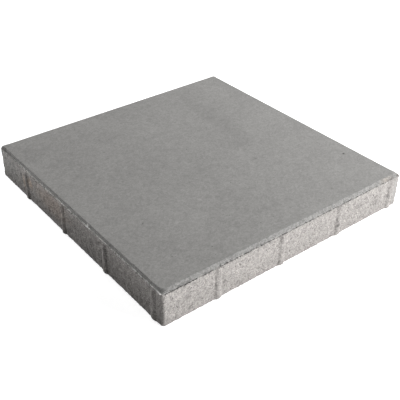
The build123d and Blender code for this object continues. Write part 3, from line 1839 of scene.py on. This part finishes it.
def facet_marks() -> tuple[Mark, ...]:
    """Lists the bright spot, the stains and the pale spots of the facet and the ledge.

    Returns:
        The marks.
    """
    on, front, left = Mark.on_wall, Wall.FRONT, Wall.LEFT
    return (
        on(left, 239.7, 47.2, 3.4, 3.0, 1.9, ragged=0.2),
        on(left, 10, 49, 6, 4, -0.3, tint=(1.0, 0.97, 0.94)),
        on(left, 27, 49, 5, 4, -0.3),
        on(left, 22, 45.5, 45, 2.5, -0.42),
        on(left, 68, 45.5, 9, 2, 0.25),
        on(left, 82, 45.8, 7, 2, 0.2),
        on(left, 397, 48, 14, 8, 0.3),
        on(front, 3, 48, 16, 8, -0.1),
        on(front, 373, 48, 17, 8, -0.06, tint=(1.05, 0.99, 0.94)),
        on(front, 384, 47, 5, 3, -0.2),
        on(front, 397, 48, 7, 5, -0.4, tint=(1.0, 0.96, 0.93)),
    )


def wall_marks() -> tuple[Mark, ...]:
    """Lists the stains, holes and streaks of the walls that show, and a broad painted shade on the
    left wall.

    Returns:
        The marks.
    """
    on, front, left = Mark.on_wall, Wall.FRONT, Wall.LEFT
    rust = (1.1, 0.98, 0.88)
    return (
        on(front, 135, 28, 60, 22, 0.07),
        on(front, 33, 26.3, 8, 5.5, -0.2),
        on(front, 20, 24, 7, 5, -0.14),
        on(front, 38, 8.4, 4.5, 4.5, -0.25),
        on(front, 24.8, 32.5, 6, 4, 0.22),
        on(front, 88.7, 21, 4, 4, -0.25),
        on(front, 316, 28.5, 13, 6, -0.18),
        on(front, 352.5, 22.5, 14, 8, -0.2),
        on(front, 356, 31, 8, 5, -0.14),
        on(front, 280.6, 15.4, 5, 5, -0.55),
        on(front, 379.6, 19.4, 4, 4, -0.35),
        on(front, 377.5, 40, 6, 5, 0.15),
        on(front, 395, 25, 9, 34, 0.0, ragged=0.3, tint=(0.98, 1.0, 1.01), smooth=0.8),
        on(left, 15, 30, 62, 40, 0.0, tint=(0.97, 1.0, 1.01), smooth=0.6),
        on(left, 183, 28, 6, 26, 0.2),
        # painted shade: the left wall darker towards its right-hand end
        on(left, 242, 33, 95, 26, -0.12),
        on(left, 150, 30, 60, 26, 0.0, tint=(1.06, 0.98, 0.93)),
        on(left, 24, 44, 5, 5, -0.35),
        on(left, 237.7, 8, 3.5, 11, -0.32),
        on(left, 211, 29.5, 6, 9, -0.22),
        on(left, 196, 14, 6, 9, -0.2),
        on(left, 262, 38, 7, 6, -0.22),
        on(left, 247.4, 28, 6, 7, -0.24),
        on(left, 145, 32, 4, 5, -0.18),
        on(left, 79, 37, 7, 6, -0.25),
        on(left, 79.5, 24, 6, 24, -0.12),
        on(left, 286, 40, 6, 6, 0.16),
        on(left, 282, 10, 8, 14, 0.16),
        on(left, 379.5, 37, 7, 9, -0.28),
        on(left, 382, 10, 9, 14, 0.2),
        on(left, 88, 30, 10, 12, 0.05, tint=rust),
        on(left, 70, 24, 7, 16, 0.0, tint=rust),
    )


def face_pits() -> tuple[Pit, ...]:
    """Lists the small pits of the walking face.

    Returns:
        The pits.
    """
    places = (
        (176.4, -117.3, 1.5, 1.0),
        (-143.5, -81.5, 1.1, 0.6),
        (97.0, -169.0, 1.0, 0.4),
        (118.0, -167.0, 0.9, 0.3),
    )
    return tuple(Pit(x * MM, y * MM, radius * MM, depth * MM) for x, y, radius, depth in places)


def edge_notches() -> tuple[Notch, ...]:
    """Lists the crumbled places of the front wall's upper edge.

    Returns:
        The notches.
    """
    places = (
        (5, 1.5, 0.5), (24, 1.9, 0.8), (36, 1.9, 1.0), (47, 1.3, 0.4), (60, 1.7, 0.8),
        (70, 1.7, 0.7), (83, 1.7, 0.8), (91, 1.5, 0.6), (98, 2.2, 0.9), (119, 1.4, 0.5),
        (130, 1.4, 0.5), (145, 1.4, 0.5), (203, 1.4, 0.5), (233, 1.6, 0.5), (263, 1.4, 0.4),
        (290, 2.0, 0.7), (303, 1.6, 0.5), (337, 1.4, 0.4),
    )
    return tuple(
        Notch(Wall.FRONT, along * MM, reach * MM, depth * MM) for along, reach, depth in places
    )


def concrete_finishes() -> dict[Zone, ConcreteFinish]:
    """Lists the finish of each part of the skin.

    Returns:
        The finishes by zone.
    """
    face = grey(139, 138, 136)
    pressed = grey(151, 150, 148)
    open_grey = grey(165, 161, 158)
    return {
        Zone.FACE: ConcreteFinish(
            "tight_face", face, cloud_size=0.07, cloud_swing=0.22, patch_size=0.012,
            patch_swing=0.22, coarse_size=0.003, coarse_swing=0.26, grain_swing=0.4,
            # painted light: the face brightens towards +X and -Y
            painted_light_drift=(0.25, -0.2, 0.0), marks=face_marks(),
        ),
        Zone.FACET: ConcreteFinish(
            "pressed_facet", pressed, grain_swing=0.9, grain_relief=0.0002, coarse_swing=0.4,
            uses_tone=True, crumb_swing=0.5, marks=facet_marks(),
        ),
        Zone.LEDGE: ConcreteFinish(
            "narrow_ledge", pressed, grain_swing=0.5, coarse_swing=0.3, uses_tone=True,
            crumb_swing=1.5, marks=facet_marks(),
        ),
        Zone.WALL: ConcreteFinish(
            "open_wall", open_grey, patch_size=0.008, patch_swing=0.2, grain_size=0.0011,
            grain_swing=1.15, coarse_size=0.0022, coarse_swing=0.35, pore_share=0.6,
            pore_spacing=0.006, pore_radius=0.14, uses_tone=True, crumb_swing=0.6,
            streak_swing=0.25, marks=wall_marks(),
        ),
        Zone.BED: ConcreteFinish(
            "open_bed", open_grey, grain_swing=0.45, coarse_swing=0.5, pore_share=0.5
        ),
    }


def wall_wear_and_shading() -> dict[Wall, WallWearAndShading]:
    """Lists how each wall is shaded and worn, which is plain on the two walls that don't show.

    Returns:
        The painted shading and the wear by wall.
    """
    return {
        # Painted light brightens the upper part of the front wall's left-hand end; the ledge tones
        # paint a highlight.
        Wall.FRONT: WallWearAndShading(
            left_end=(1.0, 1.08, 1.13), right_end=(1.0, 1.0, 1.02), facet=0.96,
            ledge=(1.35, 1.4), ledge_rise=0.25 * MM, rib=1.0, rib_head=0.88,
            rib_shift=1.7 * MM, wear=(1.2, 0.6),
        ),
        Wall.RIGHT: WallWearAndShading(),
        Wall.BACK: WallWearAndShading(),
        # Painted shade darkens the left wall's foot and its right-hand end, and painted light
        # brightens its top at the left-hand end; the ledge and lip tones paint highlights.
        Wall.LEFT: WallWearAndShading(
            left_end=(0.64, 1.04, 1.26), right_end=(0.64, 0.8, 1.06), facet=0.97,
            ledge=(2.0, 2.7), lip=1.15, rib=1.0, rib_head=0.93, rib_right=0.88,
            wear=(0.6, 0.3),
        ),
    }


def stone_scatters() -> tuple[StoneScatter, ...]:
    """Lists the sorts of stones that show in the skin.

    Returns:
        The sorts.
    """
    return (
        StoneScatter(
            "wall_grit", Zone.WALL, 90000.0, (0.45 * MM, 0.95 * MM), 0.35 * MM, (0.45, 1.7)
        ),
        StoneScatter(
            "ledge_crumbs", Zone.LEDGE, 900000.0, (0.25 * MM, 0.65 * MM), 0.1 * MM, (0.35, 1.3),
            by_wear=True,
        ),
    )


def main() -> None:
    """Builds the studio and the slab, and reports each piece."""
    logging.basicConfig(level=logging.INFO, format="%(message)s")
    bpy.context.scene.view_settings.view_transform = "Standard"
    Studio().build()
    groups = SharedGroups()
    materials = {zone: made.build(groups) for zone, made in concrete_finishes().items()}
    low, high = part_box(NODE)
    slab = PavingSlab(
        thickness=high.z - low.z,
        side=high.x - low.x - 2 * RIB_HEIGHT,
        wear_and_shading=wall_wear_and_shading(),
        pits=face_pits(),
        notches=edge_notches(),
    )
    piece = slab.build(materials)
    pieces = [piece]
    for stones in stone_scatters():
        pieces.append(stones.build(piece, materials[Zone.WALL], slab.side / 2 + GRIT_HEIGHT))
    for made in pieces:
        log.info("%s: %d faces", made.name, len(made.data.polygons))


if __name__ == "__main__":
    main()
